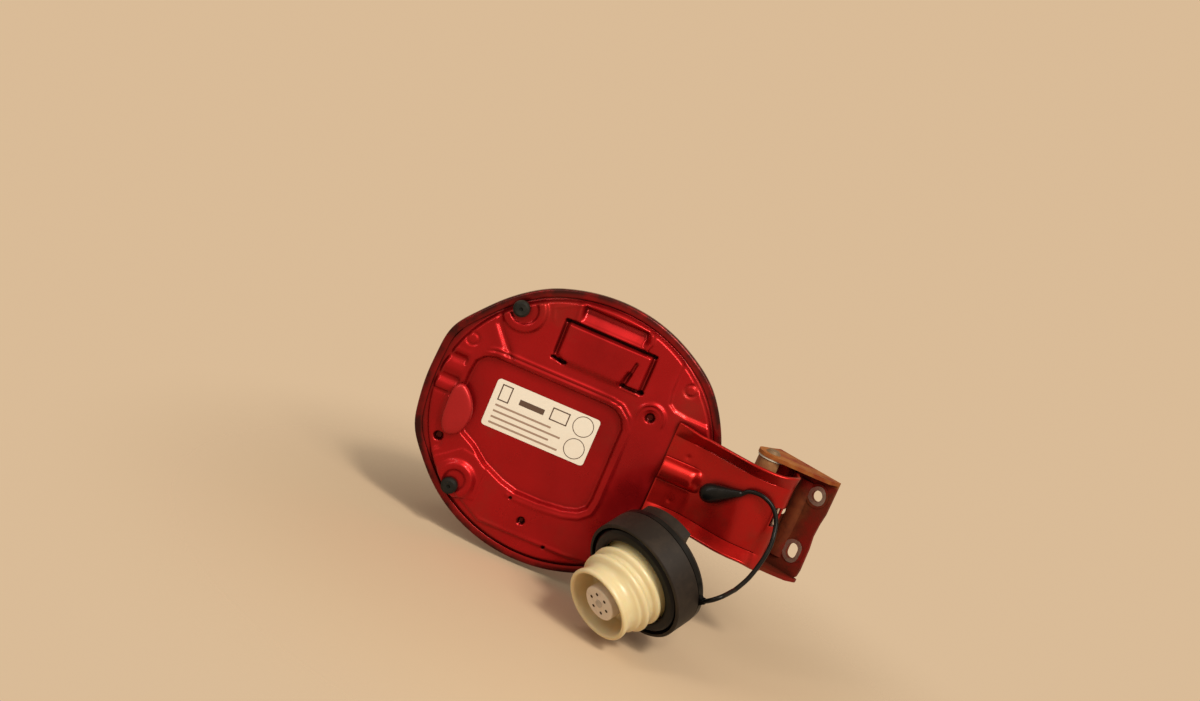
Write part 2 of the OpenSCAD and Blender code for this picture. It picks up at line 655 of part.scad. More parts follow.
module pressure_spring() {
    color([0.72, 0.72, 0.7]) to_row() at_cap() tube(helix(8, -9.7, 2.8, 6), 0.6, 8);
}

// Vacuum valve: a small disc in front of the relief disc's bore, its stem through it
module vacuum_valve() {
    color([0.75, 0.62, 0.3]) to_row() at_cap() {
        translate([0, 0, 9.6]) cylinder(r = 4.4, h = 0.9, $fn = fine);
        translate([0, 0, -3]) cylinder(r = 1.2, h = 12.8, $fn = 24);
        translate([0, 0, -4]) cylinder(r = 3.2, h = 1, $fn = 32);
    }
}

module vacuum_spring() {
    color([0.72, 0.72, 0.7]) to_row() at_cap() tube(helix(2.3, -2.55, 1.25, 4, 12), 0.4, 6);
}

outer_skin();
inner_panel();
striker_tongue();
label();
bumper_upper();
bumper_lower();
hinge_arm();
hinge_bracket();
hinge_pin();
hinge_bush_upper();
hinge_bush_lower();
hinge_spring();
tether_anchor();
tether_cord();
tether_ring();
cap_cover();
cap_gasket();
cap_body();
ratchet_ring();
ratchet_spring();
valve_retainer();
pressure_valve();
pressure_spring();
vacuum_valve();
vacuum_spring();
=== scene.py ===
"""Round car fuel door, inner side: the look of the pressed sheets, the paint, the cap and the light.

Forms are drawn in millimetres in the door's own axes (origin in the middle of the door, y = 0 on the inner
panel's face, y growing away from the viewer) and moved to the row frame by row().
"""

import json
import math

import bpy
import numpy as np
from mathutils import Matrix, Vector


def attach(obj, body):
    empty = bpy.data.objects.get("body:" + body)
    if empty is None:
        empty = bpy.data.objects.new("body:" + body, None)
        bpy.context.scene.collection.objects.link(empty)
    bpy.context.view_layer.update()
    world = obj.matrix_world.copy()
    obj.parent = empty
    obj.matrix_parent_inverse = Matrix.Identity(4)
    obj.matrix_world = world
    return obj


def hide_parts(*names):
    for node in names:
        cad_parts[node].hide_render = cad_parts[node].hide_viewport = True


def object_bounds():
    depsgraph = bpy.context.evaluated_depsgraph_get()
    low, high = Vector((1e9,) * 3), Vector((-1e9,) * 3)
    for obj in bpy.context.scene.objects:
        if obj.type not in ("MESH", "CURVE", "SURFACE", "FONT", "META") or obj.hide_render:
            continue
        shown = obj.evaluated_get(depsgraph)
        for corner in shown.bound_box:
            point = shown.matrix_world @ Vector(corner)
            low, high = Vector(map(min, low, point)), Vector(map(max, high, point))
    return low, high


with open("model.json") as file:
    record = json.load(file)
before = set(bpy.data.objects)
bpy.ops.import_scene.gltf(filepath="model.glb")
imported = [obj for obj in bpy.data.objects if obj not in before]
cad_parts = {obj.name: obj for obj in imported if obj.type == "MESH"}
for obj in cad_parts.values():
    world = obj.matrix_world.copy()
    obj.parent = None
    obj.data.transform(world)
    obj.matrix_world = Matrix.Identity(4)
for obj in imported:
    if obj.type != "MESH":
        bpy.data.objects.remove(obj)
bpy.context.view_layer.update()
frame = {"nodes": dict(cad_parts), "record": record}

MM = 0.001
ROW_ORIGIN = np.array([148.58, 6.82, 22.6])


def row(points):
    """Door axes in mm to the row frame in metres."""
    return (np.asarray(points, float) - ROW_ORIGIN) * MM


# ---------------------------------------------------------------- meshes


def make_mesh(name, points, faces, body, nodes=(), smooth=True):
    """A piece of the object, given in the door's axes."""
    mesh = bpy.data.meshes.new(name)
    mesh.from_pydata([tuple(p) for p in row(points)], [], [tuple(int(i) for i in f) for f in faces])
    mesh.validate()
    mesh.update()
    if smooth:
        mesh.polygons.foreach_set("use_smooth", [True] * len(mesh.polygons))
    obj = bpy.data.objects.new(name, mesh)
    bpy.context.scene.collection.objects.link(obj)
    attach(obj, body)
    if nodes:
        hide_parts(*nodes)
    return obj


def smoothstep(t):
    """From 0 to 1 along a soft S, flat outside."""
    t = np.clip(t, 0.0, 1.0)
    return t * t * (3 - 2 * t)


def distance(x, z, place):
    return np.hypot(x - place[0], z - place[1])


def distance_to_line(x, z, line):
    """Distance of each point to an open line of corners."""
    best = np.full(x.shape, 1e9)
    for (ax, az), (bx, bz) in zip(line[:-1], line[1:]):
        dx, dz = bx - ax, bz - az
        t = np.clip(((x - ax) * dx + (z - az) * dz) / (dx * dx + dz * dz), 0, 1)
        best = np.minimum(best, np.hypot(x - ax - t * dx, z - az - t * dz))
    return best


def inside(x, z, outline):
    """Whether each point lies in a closed outline."""
    hit = np.zeros(x.shape, bool)
    pts = list(outline)
    for (ax, az), (bx, bz) in zip(pts, pts[1:] + pts[:1]):
        if az == bz:
            continue
        cross = ((az > z) != (bz > z)) & (x < (bx - ax) * (z - az) / (bz - az) + ax)
        hit ^= cross
    return hit


def signed(x, z, outline):
    """Signed distance to a closed outline, negative inside."""
    d = distance_to_line(x, z, list(outline) + [outline[0]])
    return np.where(inside(x, z, outline), -d, d)


def ridge(d, width):
    """A soft bead, 1 where d is 0."""
    return np.exp(-((d / width) ** 2))


def rounded(points, per_corner):
    """The closed outline through the middles of the sides, its corners turned into curves."""
    pts = [np.array(p, float) for p in points]
    out = []
    for before, p, after in zip(pts[-1:] + pts[:-1], pts, pts[1:] + pts[:1]):
        a, b = (before + p) / 2, (p + after) / 2
        for t in np.arange(per_corner) / per_corner:
            out.append((1 - t) ** 2 * a + 2 * t * (1 - t) * p + t * t * b)
    return out


def tube(rings, n, close=False):
    """Faces between rings of n points, each joined to the next, and the last to the first if it closes."""
    return [(i * n + k, i * n + (k + 1) % n, (i + 1) % rings * n + (k + 1) % n, (i + 1) % rings * n + k)
            for i in range(rings if close else rings - 1) for k in range(n)]


def lathe(name, profile, place, body, node, segments=128):
    """A turned piece of a closed profile of (radius, z); place maps local points to the door's axes."""
    angles = np.linspace(0, 2 * math.pi, segments, endpoint=False)
    points = [(r * math.cos(a), r * math.sin(a), z) for r, z in profile for a in angles]
    return make_mesh(name, place(points), tube(len(profile), segments, close=True), body, [node])


def soften(profile, radius, steps=4):
    """A closed profile with its corners rounded."""
    pts = [np.array(p, float) for p in profile]
    out = []
    for before, p, after in zip(pts[-1:] + pts[:-1], pts, pts[1:] + pts[:1]):
        la, lb = np.linalg.norm(before - p), np.linalg.norm(after - p)
        r = min(radius, la * 0.45, lb * 0.45)
        s, e = p + (before - p) / la * r, p + (after - p) / lb * r
        for t in np.arange(steps + 1) / steps:
            out.append((1 - t) ** 2 * s + 2 * t * (1 - t) * p + t * t * e)
    return out


# ---------------------------------------------------------------- materials


def material(name, color, metallic=0.0, roughness=0.5, coat=0.0, coat_rough=0.1, specular=0.5, sss=0.0,
             spots=(), bump=0.0, rough_noise=0.0, corner_shade=None, rim=None, top=None):
    """A Principled material whose colour is mixed with soft patches: (colour, scale, from, to, strength).

    corner_shade is (colour, reach in metres) of the painted shade that darkens corners, creases and hollows;
    rim is the colour of the door's dark edge, partly wear and rust, partly painted shade of the hem;
    top is (colour, height) of the rust that takes over above a height.
    """
    mat = bpy.data.materials.new(name)
    mat.use_nodes = True
    tree = mat.node_tree
    shader = tree.nodes["Principled BSDF"]
    for key, value in (("Base Color", (*color, 1)), ("Metallic", metallic), ("Roughness", roughness),
                       ("Coat Weight", coat), ("Coat Roughness", coat_rough),
                       ("Specular IOR Level", specular), ("Subsurface Weight", sss),
                       ("Subsurface Radius", (1.0, 0.6, 0.3)), ("Subsurface Scale", 0.004)):
        shader.inputs[key].default_value = value
    place = tree.nodes.new("ShaderNodeTexCoord").outputs["Object"]

    def noise(scale, detail, rough=0.5):
        node = tree.nodes.new("ShaderNodeTexNoise")
        for key, value in (("Scale", scale), ("Detail", detail), ("Roughness", rough)):
            node.inputs[key].default_value = value
        tree.links.new(place, node.inputs["Vector"])
        return node.outputs["Fac"]

    def remap(value, low, high, to_low, to_high):
        node = tree.nodes.new("ShaderNodeMapRange")
        for key, v in (("From Min", low), ("From Max", high), ("To Min", to_low), ("To Max", to_high)):
            node.inputs[key].default_value = v
        tree.links.new(value, node.inputs["Value"])
        return node.outputs["Result"]

    def product(a, b):
        node = tree.nodes.new("ShaderNodeMath")
        node.operation = "MULTIPLY"
        tree.links.new(a, node.inputs[0])
        tree.links.new(b, node.inputs[1])
        return node.outputs[0]

    def vector(operation, a, b=None):
        node = tree.nodes.new("ShaderNodeVectorMath")
        node.operation = operation
        tree.links.new(a, node.inputs[0])
        if b is not None:
            node.inputs[1].default_value = b
        return node

    def blend(factor, colour, before):
        mix = tree.nodes.new("ShaderNodeMix")
        mix.data_type = "RGBA"
        tree.links.new(factor, mix.inputs["Factor"])
        if before is None:
            mix.inputs["A"].default_value = (*color, 1)
        else:
            tree.links.new(before, mix.inputs["A"])
        mix.inputs["B"].default_value = (*colour, 1)
        return mix.outputs["Result"]

    last = None
    for colour, scale, low, high, strength in spots:
        last = blend(remap(noise(scale, 6.0, 0.62), low, high, 0.0, strength), colour, last)
    # painted shade and wear: the outer edge of the door's oval darkens, in speckles, toward the rim colour
    if rim is not None:
        shift = vector("SUBTRACT", place, tuple(float(v) for v in row([DOOR_MX, 0, DOOR_MZ])))
        share = vector("MULTIPLY", shift.outputs[0], (1 / MM / DOOR_A, 0, 1 / MM / DOOR_B))
        near = remap(vector("LENGTH", share.outputs[0]).outputs["Value"], 0.93, 0.985, 0.0, 1.0)
        last = blend(product(near, remap(noise(120.0, 6.0), 0.38, 0.56, 0.62, 0.97)), rim, last)
    if top is not None:
        split = tree.nodes.new("ShaderNodeSeparateXYZ")
        tree.links.new(place, split.inputs[0])
        above = remap(split.outputs["Z"], top[1] - 0.0015, top[1] + 0.0005, 0.0, 1.0)
        last = blend(product(above, remap(noise(70.0, 6.0), 0.36, 0.58, 0.15, 0.95)), top[0], last)
    # painted shade: where ambient occlusion finds corners, creases and hollows, the base colour goes toward
    # the given dark colour
    if corner_shade is not None:
        corner = tree.nodes.new("ShaderNodeAmbientOcclusion")
        corner.samples = 8
        corner.inputs["Distance"].default_value = corner_shade[1]
        last = blend(remap(corner.outputs["AO"], 0.35, 0.88, 0.92, 0.0), corner_shade[0], last)
    if last is not None:
        tree.links.new(last, shader.inputs["Base Color"])
    if rough_noise:
        rough = remap(noise(60.0, 5.0), 0.35, 0.7, roughness - rough_noise, roughness + rough_noise)
        tree.links.new(rough, shader.inputs["Roughness"])
    if bump:
        node = tree.nodes.new("ShaderNodeBump")
        node.inputs["Strength"].default_value = bump
        node.inputs["Distance"].default_value = 0.0003
        tree.links.new(noise(900.0, 3.0), node.inputs["Height"])
        tree.links.new(node.outputs["Normal"], shader.inputs["Normal"])
    return mat


# half length, half height and middle of the door's oval
DOOR_A, DOOR_B, DOOR_MX, DOOR_MZ = 89.9, 83.8, 0.6, -1.2
RED = (0.375, 0.007, 0.009)
# colour of the painted shade in the corners and creases of the red paints
CORNER_SHADE_RED = (0.035, 0.004, 0.003)
paint = material("red_paint", RED, metallic=0.72, roughness=0.36, coat=0.12, coat_rough=0.12, specular=0.2,
                 spots=[((0.17, 0.030, 0.016), 30.0, 0.55, 0.82, 0.55),
                        ((0.17, 0.003, 0.004), 9.0, 0.42, 0.68, 0.65)],
                 rough_noise=0.1, corner_shade=(CORNER_SHADE_RED, 0.006), rim=(0.032, 0.006, 0.005))
arm_paint = material("arm_paint", (0.39, 0.009, 0.007), metallic=0.7, roughness=0.36, coat=0.12,
                     coat_rough=0.15, specular=0.2, spots=[((0.16, 0.035, 0.018), 40.0, 0.5, 0.75, 0.55)],
                     rough_noise=0.1, corner_shade=(CORNER_SHADE_RED, 0.006))
rusty = material("bracket_paint", (0.19, 0.011, 0.007), metallic=0.12, roughness=0.55, coat=0.03,
                 coat_rough=0.3, specular=0.06,
                 spots=[((0.085, 0.020, 0.009), 34.0, 0.40, 0.60, 0.85),
                        ((0.20, 0.060, 0.018), 55.0, 0.52, 0.70, 0.45),
                        ((0.05, 0.016, 0.008), 150.0, 0.55, 0.72, 0.6)],
                 bump=0.3, corner_shade=((0.03, 0.008, 0.004), 0.006), top=((0.36, 0.125, 0.030), 0.0102))
worn_tan = material("knuckle_rust", (0.36, 0.19, 0.075), roughness=0.6, specular=0.2,
                    spots=[((0.22, 0.07, 0.025), 60.0, 0.42, 0.62, 0.8),
                           ((0.10, 0.03, 0.015), 160.0, 0.5, 0.7, 0.6)],
                    bump=0.3, corner_shade=((0.04, 0.012, 0.006), 0.006))
steel = material("bare_steel", (0.36, 0.33, 0.29), metallic=0.9, roughness=0.42,
                 spots=[((0.20, 0.15, 0.10), 220.0, 0.5, 0.7, 0.6)])
pin_steel = material("pin_steel", (0.20, 0.13, 0.075), metallic=0.5, roughness=0.55, specular=0.2,
                     spots=[((0.30, 0.27, 0.23), 200.0, 0.55, 0.75, 0.6)])
bright_steel = material("spring_steel", (0.66, 0.63, 0.58), metallic=1.0, roughness=0.3)
rubber = material("rubber", (0.011, 0.011, 0.009), roughness=0.6, specular=0.14,
                  spots=[((0.05, 0.045, 0.035), 120.0, 0.5, 0.75, 0.45)])
tether_black = material("tether_plastic", (0.004, 0.004, 0.004), roughness=0.33, specular=0.16,
                        spots=[((0.022, 0.018, 0.014), 150.0, 0.5, 0.8, 0.4)])
# painted highlight: the striker tongue gets a lighter, pinker copy of the red paint
tab_highlight_paint = material("tab_highlight_paint", (0.42, 0.016, 0.018), metallic=0.6, roughness=0.4, coat=0.12,
                     coat_rough=0.15, specular=0.25, spots=[((0.34, 0.012, 0.012), 60.0, 0.5, 0.75, 0.5)],
                     rough_noise=0.06, corner_shade=(CORNER_SHADE_RED, 0.004))
cover_grey = material("cap_plastic", (0.013, 0.009, 0.007), roughness=0.55, specular=0.22,
                      spots=[((0.045, 0.030, 0.020), 70.0, 0.45, 0.75, 0.6)], bump=0.15,
                      corner_shade=((0.003, 0.003, 0.003), 0.006))
gasket_black = material("gasket_rubber", (0.003, 0.003, 0.004), roughness=0.3, specular=0.12, coat=0.08,
                        coat_rough=0.12)
# painted shade: the body's bore and hollows darken toward a deeper cream
cream = material("body_plastic", (0.72, 0.60, 0.35), roughness=0.32, sss=0.4,
                 spots=[((0.60, 0.46, 0.21), 35.0, 0.45, 0.75, 0.5)], corner_shade=((0.52, 0.40, 0.18), 0.005))
off_white = material("valve_plastic", (0.74, 0.64, 0.53), roughness=0.42, sss=0.15,
                     spots=[((0.45, 0.36, 0.28), 180.0, 0.55, 0.75, 0.6)])
mouth_dark = material("hole_shade", (0.06, 0.035, 0.02), roughness=0.8, specular=0.1)
valve_grey = material("valve_middle", (0.52, 0.46, 0.39), roughness=0.5,
                      spots=[((0.36, 0.30, 0.24), 300.0, 0.45, 0.65, 0.6)])
nylon = material("bush_plastic", (0.62, 0.56, 0.42), roughness=0.45)
brass = material("valve_brass", (0.72, 0.52, 0.24), metallic=1.0, roughness=0.3)
paper = material("label_stock", (0.86, 0.77, 0.63), roughness=0.42, coat=0.3, coat_rough=0.2,
                 spots=[((0.74, 0.58, 0.42), 60.0, 0.5, 0.8, 0.35)])
ink = material("label_ink", (0.10, 0.055, 0.035), roughness=0.5)
ink_soft = material("label_ink_soft", (0.36, 0.24, 0.17), roughness=0.5)

CAD_LOOKS = {
    "paint": paint, "bracket_paint": rusty, "label_stock": paper, "bumper_rubber": rubber,
    "plated_steel": steel, "bush_plastic": nylon, "spring_steel": bright_steel,
    "tether_plastic": tether_black, "cap_plastic": cover_grey, "gasket_rubber": gasket_black,
    "body_plastic": cream, "valve_plastic": off_white, "valve_brass": brass,
}
for entry in frame["record"]["subparts"]:
    node = frame["nodes"][entry["node"]]
    node.data.materials.clear()
    plain = CAD_LOOKS[entry["material_slot"]]
    node.data.materials.append(pin_steel if entry["node"] == "hinge_pin" else plain)


def dress(obj, look):
    obj.data.materials.clear()
    obj.data.materials.append(look)
    return obj


# ---------------------------------------------------------------- door skin

# direction in degrees and height of the slight bulges of the door's outline
BUMPS = [(118, 0.5), (159, 2.8), (202, 2.0), (44, 0.8)]
RIM_POINTS = 240
# outer and inner face of the skin's middle, and how far inside the outline its flat part starts
SKIN_OUT, SKIN_IN, FLAT_INSET = 9.5, 8.7, 10


def door_oval(inset):
    """The door's outline, an oval with the slight bulges of the real one."""
    a = np.linspace(0, 2 * math.pi, RIM_POINTS, endpoint=False)
    grow = sum(h * np.exp(-((((a - math.radians(g) + math.pi) % (2 * math.pi)) - math.pi) / 0.17) ** 2)
               for g, h in BUMPS)
    return (DOOR_MX + (DOOR_A - inset + grow) * np.cos(a), DOOR_MZ + (DOOR_B - inset + grow) * np.sin(a))


def build_skin():
    """Ovals from the hem's free edge round the rim to the middle of the outside, and back inside."""
    outside = [(4.6, 3.85), (4.6, 3.3), (4.3, 3.1), (3, 3.0), (1.6, 3.0), (0.8, 3.15), (0.3, 3.5),
               (0.05, 4.2), (0, 5.4), (0, 6.8), (0.15, 7.8), (0.6, 8.6), (1.4, 9.2), (2.6, SKIN_OUT),
               (FLAT_INSET, SKIN_OUT)]
    within = [(FLAT_INSET, SKIN_IN), (3, SKIN_IN), (1.8, 8.3), (0.95, 7.4), (0.8, 6), (0.85, 4.4),
              (1.3, 3.95), (2.4, 3.85)]
    shares = (0.75, 0.5, 0.25)
    rings = [(inset, y, 1.0) for inset, y in outside] + [(FLAT_INSET, SKIN_OUT, share) for share in shares]
    turn = len(rings) - 1
    rings += [(FLAT_INSET, SKIN_IN, share) for share in shares[::-1]]
    rings += [(inset, y, 1.0) for inset, y in within]
    points = []
    n = RIM_POINTS
    for inset, y, share in rings:
        points += [(DOOR_MX + (a - DOOR_MX) * share, y, DOOR_MZ + (b - DOOR_MZ) * share)
                   for a, b in zip(*door_oval(inset))]
    middle = len(points)
    points += [(DOOR_MX, SKIN_OUT, DOOR_MZ), (DOOR_MX, SKIN_IN, DOOR_MZ)]
    walls = tube(len(rings), n, close=True)
    faces = [(a, d, c, b) for a, b, c, d in walls[:turn * n] + walls[(turn + 1) * n:]]
    for k in range(n):
        a, b = turn * n + k, turn * n + (k + 1) % n
        faces += [(a, middle, b), (a + n, b + n, middle + 1)]
    return dress(make_mesh("skin_shell", points, faces, "door", ["outer_skin"]), paint)


build_skin()

# ---------------------------------------------------------------- inner panel

# thickness of the sheet, depth of the recess, drop of the edge under the hem, depth of the holes' dark shafts
PANEL_T, RECESS_DEPTH, EDGE_DROP, HOLE_DEPTH = 0.7, 4.2, 3.95, 4.0
# outlines, lines and middles of the pressed forms in x and z
RECESS = [
    (-65.9, 18), (-61.8, 22.6), (-55.8, 24.6), (-39.9, 24.6), (14.9, 24.6), (20.9, 23.6), (25.9, 19.5),
    (28.5, 13.9), (28.8, -31.6), (27.8, -37.9), (23.3, -42.1), (15.2, -44.6), (0.1, -46.3), (-15.1, -46.3),
    (-25.2, -43.7), (-38.3, -37.9), (-48.3, -30.1), (-57.4, -25.4), (-64.3, -15), (-67.1, -0.5), (-67, 9.8)
]
POCKET = [(-19, 72.5), (-18, 64), (20, 64), (21.5, 68), (20, 72.5)]
STEP = [(46, 68), (46, 46.9), (47.6, 39.5), (51.6, 36.8), (59.5, 35.6), (92, 35.6), (92, 68)]
LEFT_ZONE = [(-95, -6), (-74, -6), (-72, -22), (-66, -30), (-66, -38), (-78, -48), (-95, -40)]
LOWER_ZONE = [(-68, -45), (-53, -33), (-36, -36), (-36, -60), (-58, -66)]
FOOT_FOLD = [(-50, -58), (-44, -62), (-29, -70.6), (26, -70.4), (60, -66)]
DIAGONAL = [(-62.5, 50), (-61, 44), (-47, 27)]
SEAT_BEAD = [(-20, 73.2), (-35.5, 65), (-33.2, 58.5)]
POCKET_GROOVE = [(-19, 75.2), (20, 75.2), (32, 72.6), (46, 67)]
BRIDGE_POSTS = [[(-25.2, 60), (-24.6, 41), (-19, 37.6)], [(29.2, 60), (29.0, 39.5)]]
BRIDGE_GROOVES = [([(20.8, 53.5), (18.6, 40)], 0.9), ([(18.7, 46), (17.0, 39.5)], 1.5)]
UPPER_SEAT, LOWER_SEAT, RING_AT = (-50.5, 57), (-50.5, -52.5), (40.2, 27.1)
HOLES = [(*RING_AT, 2.7), (-69.4, -32.6, 2.6), (-5.2, -60.4, 2.2), (-16.1, -49.9, 0.8), (13, -70, 1.0)]
SLOTS = [[(-25.4, 61.3), (29.3, 61.3)], [(-25.4, 38.2), (-17.6, 37.6)], [(17.4, 38.4), (29.9, 38.6)]]
WELDS = [(-71.8, 29.4), (55.9, 51.1)]


def panel_height(x, z):
    """Height of the pressed panel toward the viewer."""
    h = np.zeros(x.shape)
    # about how far inside the door's outline each point lies
    edge = (1 - np.hypot((x - DOOR_MX) / DOOR_A, (z - DOOR_MZ) / DOOR_B)) * 86.5
    # stepped corner by the hinge
    d = signed(x, z, STEP)
    h -= 1.4 * smoothstep((1.2 - d) / 2.4)
    # lower zone at the foot, below its fold
    low = z < np.interp(x, [p[0] for p in FOOT_FOLD], [p[1] for p in FOOT_FOLD])
    d = np.where(low, -1, 1) * distance_to_line(x, z, FOOT_FOLD)
    h -= 1.5 * smoothstep((0.9 - d) / 1.8) * (x > -50)
    h += 0.5 * ridge(d - 1.4, 0.9) * smoothstep((x + 34) / 6) * smoothstep((34 - x) / 8)
    # lower zone at the left by the tongue
    d = signed(x, z, LEFT_ZONE)
    h -= 1.8 * smoothstep((1.5 - d) / 3.0)
    # two grooves across the left edge
    across = smoothstep((-68.5 - x) / 3)
    for centre, width in ((15.6, 2.6), (2.2, 2.8)):
        h -= 2.4 * ridge(z - centre, width) * across
    h += 0.5 * (ridge(z - 20.2, 1.6) + ridge(z - 8.9, 1.8)) * across
    h -= 0.9 * ridge(z + 6.5, 1.4) * across
    # soft diagonal groove under the upper bumper and its seat
    h -= 1.6 * ridge(distance_to_line(x, z, DIAGONAL), 1.9)
    r = distance(x, z, UPPER_SEAT)
    h += 1.9 * smoothstep((14.5 - r) / 2.8) - 1.4 * smoothstep((9.5 - r) / 2.6)
    h += 0.35 * ridge(distance_to_line(x, z, SEAT_BEAD), 0.7)
    # seat of the lower bumper: a crowned boss
    r = distance(x, z, LOWER_SEAT)
    h += 2.5 * smoothstep((13.5 - r) / 4.0) - 1.2 * smoothstep((8 - r) / 3.0)
    d = signed(x, z, LOWER_ZONE)
    h += 0.7 * smoothstep((0.6 - d) / 1.4)
    # pocket above the cap holder, with a raised lip over it
    d = signed(x, z, POCKET)
    h -= (1.2 + 3.6 * smoothstep((z - 63.5) / 8.5)) * smoothstep((1.3 - d) / 2.6)
    h += (1.1 + 0.6 * smoothstep((x - 14) / 6)) * ridge(d - 2.6, 1.1) * (z > 62.5)
    h -= 0.9 * ridge(distance_to_line(x, z, POCKET_GROOVE), 0.8)
    # cap holder: a bridge that stands proud at its upper edge and fades out downward
    sides = smoothstep((x + 25) / 2.4) * smoothstep((29.4 - x) / 2.4)
    lift = np.where(z < 61, smoothstep((z - 35) / 6), 0)
    h += 3.0 * sides * lift
    for post in BRIDGE_POSTS:
        h -= 2.0 * ridge(distance_to_line(x, z, post), 1.35)
    for line, width in BRIDGE_GROOVES:
        h -= 2.2 * ridge(distance_to_line(x, z, line), width)
    # main recess, its drawn wall and the beads round it
    d = signed(x, z, RECESS)
    h = h * smoothstep((d + 1) / 3) - RECESS_DEPTH * smoothstep((0.5 - d) / 1.9)
    upper = smoothstep((z - 12) / 12) * smoothstep((x + 64) / 8) * smoothstep((34 - x) / 6)
    h += upper * (1.3 * ridge(d - 2.4, 0.9) + 0.9 * ridge(d - 4.9, 0.8) - 0.4 * ridge(d - 3.7, 0.6))
    h += 0.7 * ridge(d - 3.4, 1.1) * (1 - upper) * (x > -20)
    # raised ring beside the hinge
    r = distance(x, z, RING_AT)
    h += (1.2 * ridge(r - 8.2, 1.1) + 0.8 * ridge(r - 5.6, 0.9)) * smoothstep((z - 22) / 8)
    # spot weld rings
    for weld in WELDS:
        h -= 0.95 * ridge(distance(x, z, weld) - 3.5, 0.75)
    # slight unevenness of pressed sheet
    h += 0.12 * np.sin(x * 0.11 + 1.3) * np.sin(z * 0.13 + 0.4)
    # slots and holes: deep shafts down to the dark inside
    for line in SLOTS:
        h -= HOLE_DEPTH * smoothstep((1.25 - distance_to_line(x, z, line)) / 0.7)
    for cx, cz, radius in HOLES:
        h -= HOLE_DEPTH * smoothstep((radius + 0.3 - distance(x, z, (cx, cz))) / 0.7)
    # edge of the pressing, which drops under the hem
    drop = smoothstep((7.4 - edge) / 2.2)
    h = h * (1 - drop) - EDGE_DROP * drop
    return np.maximum(h, -7.5)


def build_panel(step=0.75):
    """The pressed sheet as a fine grid, cut to the door's oval."""
    xs = np.arange(-90, 92, step)
    zs = np.arange(-86, 84, step)
    x, z = np.meshgrid(xs, zs)
    h = panel_height(x, z)
    edge = np.hypot((x - DOOR_MX) / (DOOR_A - 1.3), (z - DOOR_MZ) / (DOOR_B - 1.3))
    keep = edge < 1
    index = -np.ones(x.shape, int)
    index[keep] = np.arange(keep.sum())
    points = np.stack([x[keep], -h[keep], z[keep]], 1)
    a, b = index[:-1, :-1], index[:-1, 1:]
    c, d = index[1:, 1:], index[1:, :-1]
    good = (a >= 0) & (b >= 0) & (c >= 0) & (d >= 0)
    faces = np.stack([a[good], b[good], c[good], d[good]], 1)
    obj = make_mesh("panel_sheet", points, faces, "door", ["inner_panel"])
    thick = obj.modifiers.new("sheet", "SOLIDIFY")
    thick.thickness = PANEL_T * MM
    thick.offset = -1
    return dress(obj, paint)


build_panel()

# ---------------------------------------------------------------- striker tongue

TONGUE = [
    (-71.3, -1), (-69.5, 2.2), (-65.5, 3), (-60, -2), (-56, -9), (-55.4, -16), (-57.3, -23.5), (-62.2, -28),
    (-67.6, -28), (-71, -22.2), (-71.8, -9.8)
]
TONGUE_T, TONGUE_TOP = 0.6, -4.5


def build_tongue():
    """The smooth crowned tab of the latch over the recess's edge."""
    outline = np.array(rounded(TONGUE, 7))
    centre = outline.mean(0)
    rings = [(1.0, -1.6), (1.0, -2.4), (0.985, -3.0), (0.95, -3.6), (0.88, -4.05), (0.75, -4.3), (0.5, -4.45),
             (0.2, TONGUE_TOP)]
    points = []
    n = len(outline)
    for scale, y in rings:
        points += [(a, y, b) for a, b in centre + (outline - centre) * scale]
    points.append((centre[0], TONGUE_TOP, centre[1]))
    top = (len(rings) - 1) * n
    faces = tube(len(rings), n)
    faces += [(top + k, top + (k + 1) % n, len(points) - 1) for k in range(n)]
    obj = make_mesh("striker_tab", points, faces, "door", ["striker_tongue"])
    thick = obj.modifiers.new("sheet", "SOLIDIFY")
    thick.thickness = TONGUE_T * MM
    thick.offset = 0
    return dress(obj, tab_highlight_paint)


build_tongue()

# ---------------------------------------------------------------- label

LABEL_THICK, MARK_LIFT = 0.3, 0.06
LABEL_Y = RECESS_DEPTH - LABEL_THICK


def flat_marks(name, shapes, look):
    """Flat printed shapes on the label: closed outlines in x and z."""
    points, faces = [], []
    for outline in shapes:
        start = len(points)
        points += [(a, LABEL_Y - MARK_LIFT, b) for a, b in outline]
        faces.append(tuple(range(start, len(points))))
    obj = make_mesh(name, points, faces, "door", smooth=False)
    return dress(obj, look)


def ring_quads(cx, cz, r, w, n=64):
    """A thin ring of radius r, its line 2 w wide."""
    out = []
    for k in range(n):
        a, b = 2 * math.pi * k / n, 2 * math.pi * (k + 1) / n
        out.append([(cx + (r - w) * math.cos(a), cz + (r - w) * math.sin(a)),
                    (cx + (r + w) * math.cos(a), cz + (r + w) * math.sin(a)),
                    (cx + (r + w) * math.cos(b), cz + (r + w) * math.sin(b)),
                    (cx + (r - w) * math.cos(b), cz + (r - w) * math.sin(b))])
    return out


def bar(x0, x1, z, t):
    return [(x0, z - t / 2), (x1, z - t / 2), (x1, z + t / 2), (x0, z + t / 2)]


def frame_bars(x0, x1, z0, z1, t):
    """The four sides of a rectangle, their lines t wide."""
    return [bar(x0, x1, z0, t), bar(x0, x1, z1, t), [(x0, z0), (x0 + t, z0), (x0 + t, z1), (x0, z1)],
            [(x1 - t, z0), (x1, z0), (x1, z1), (x1 - t, z1)]]


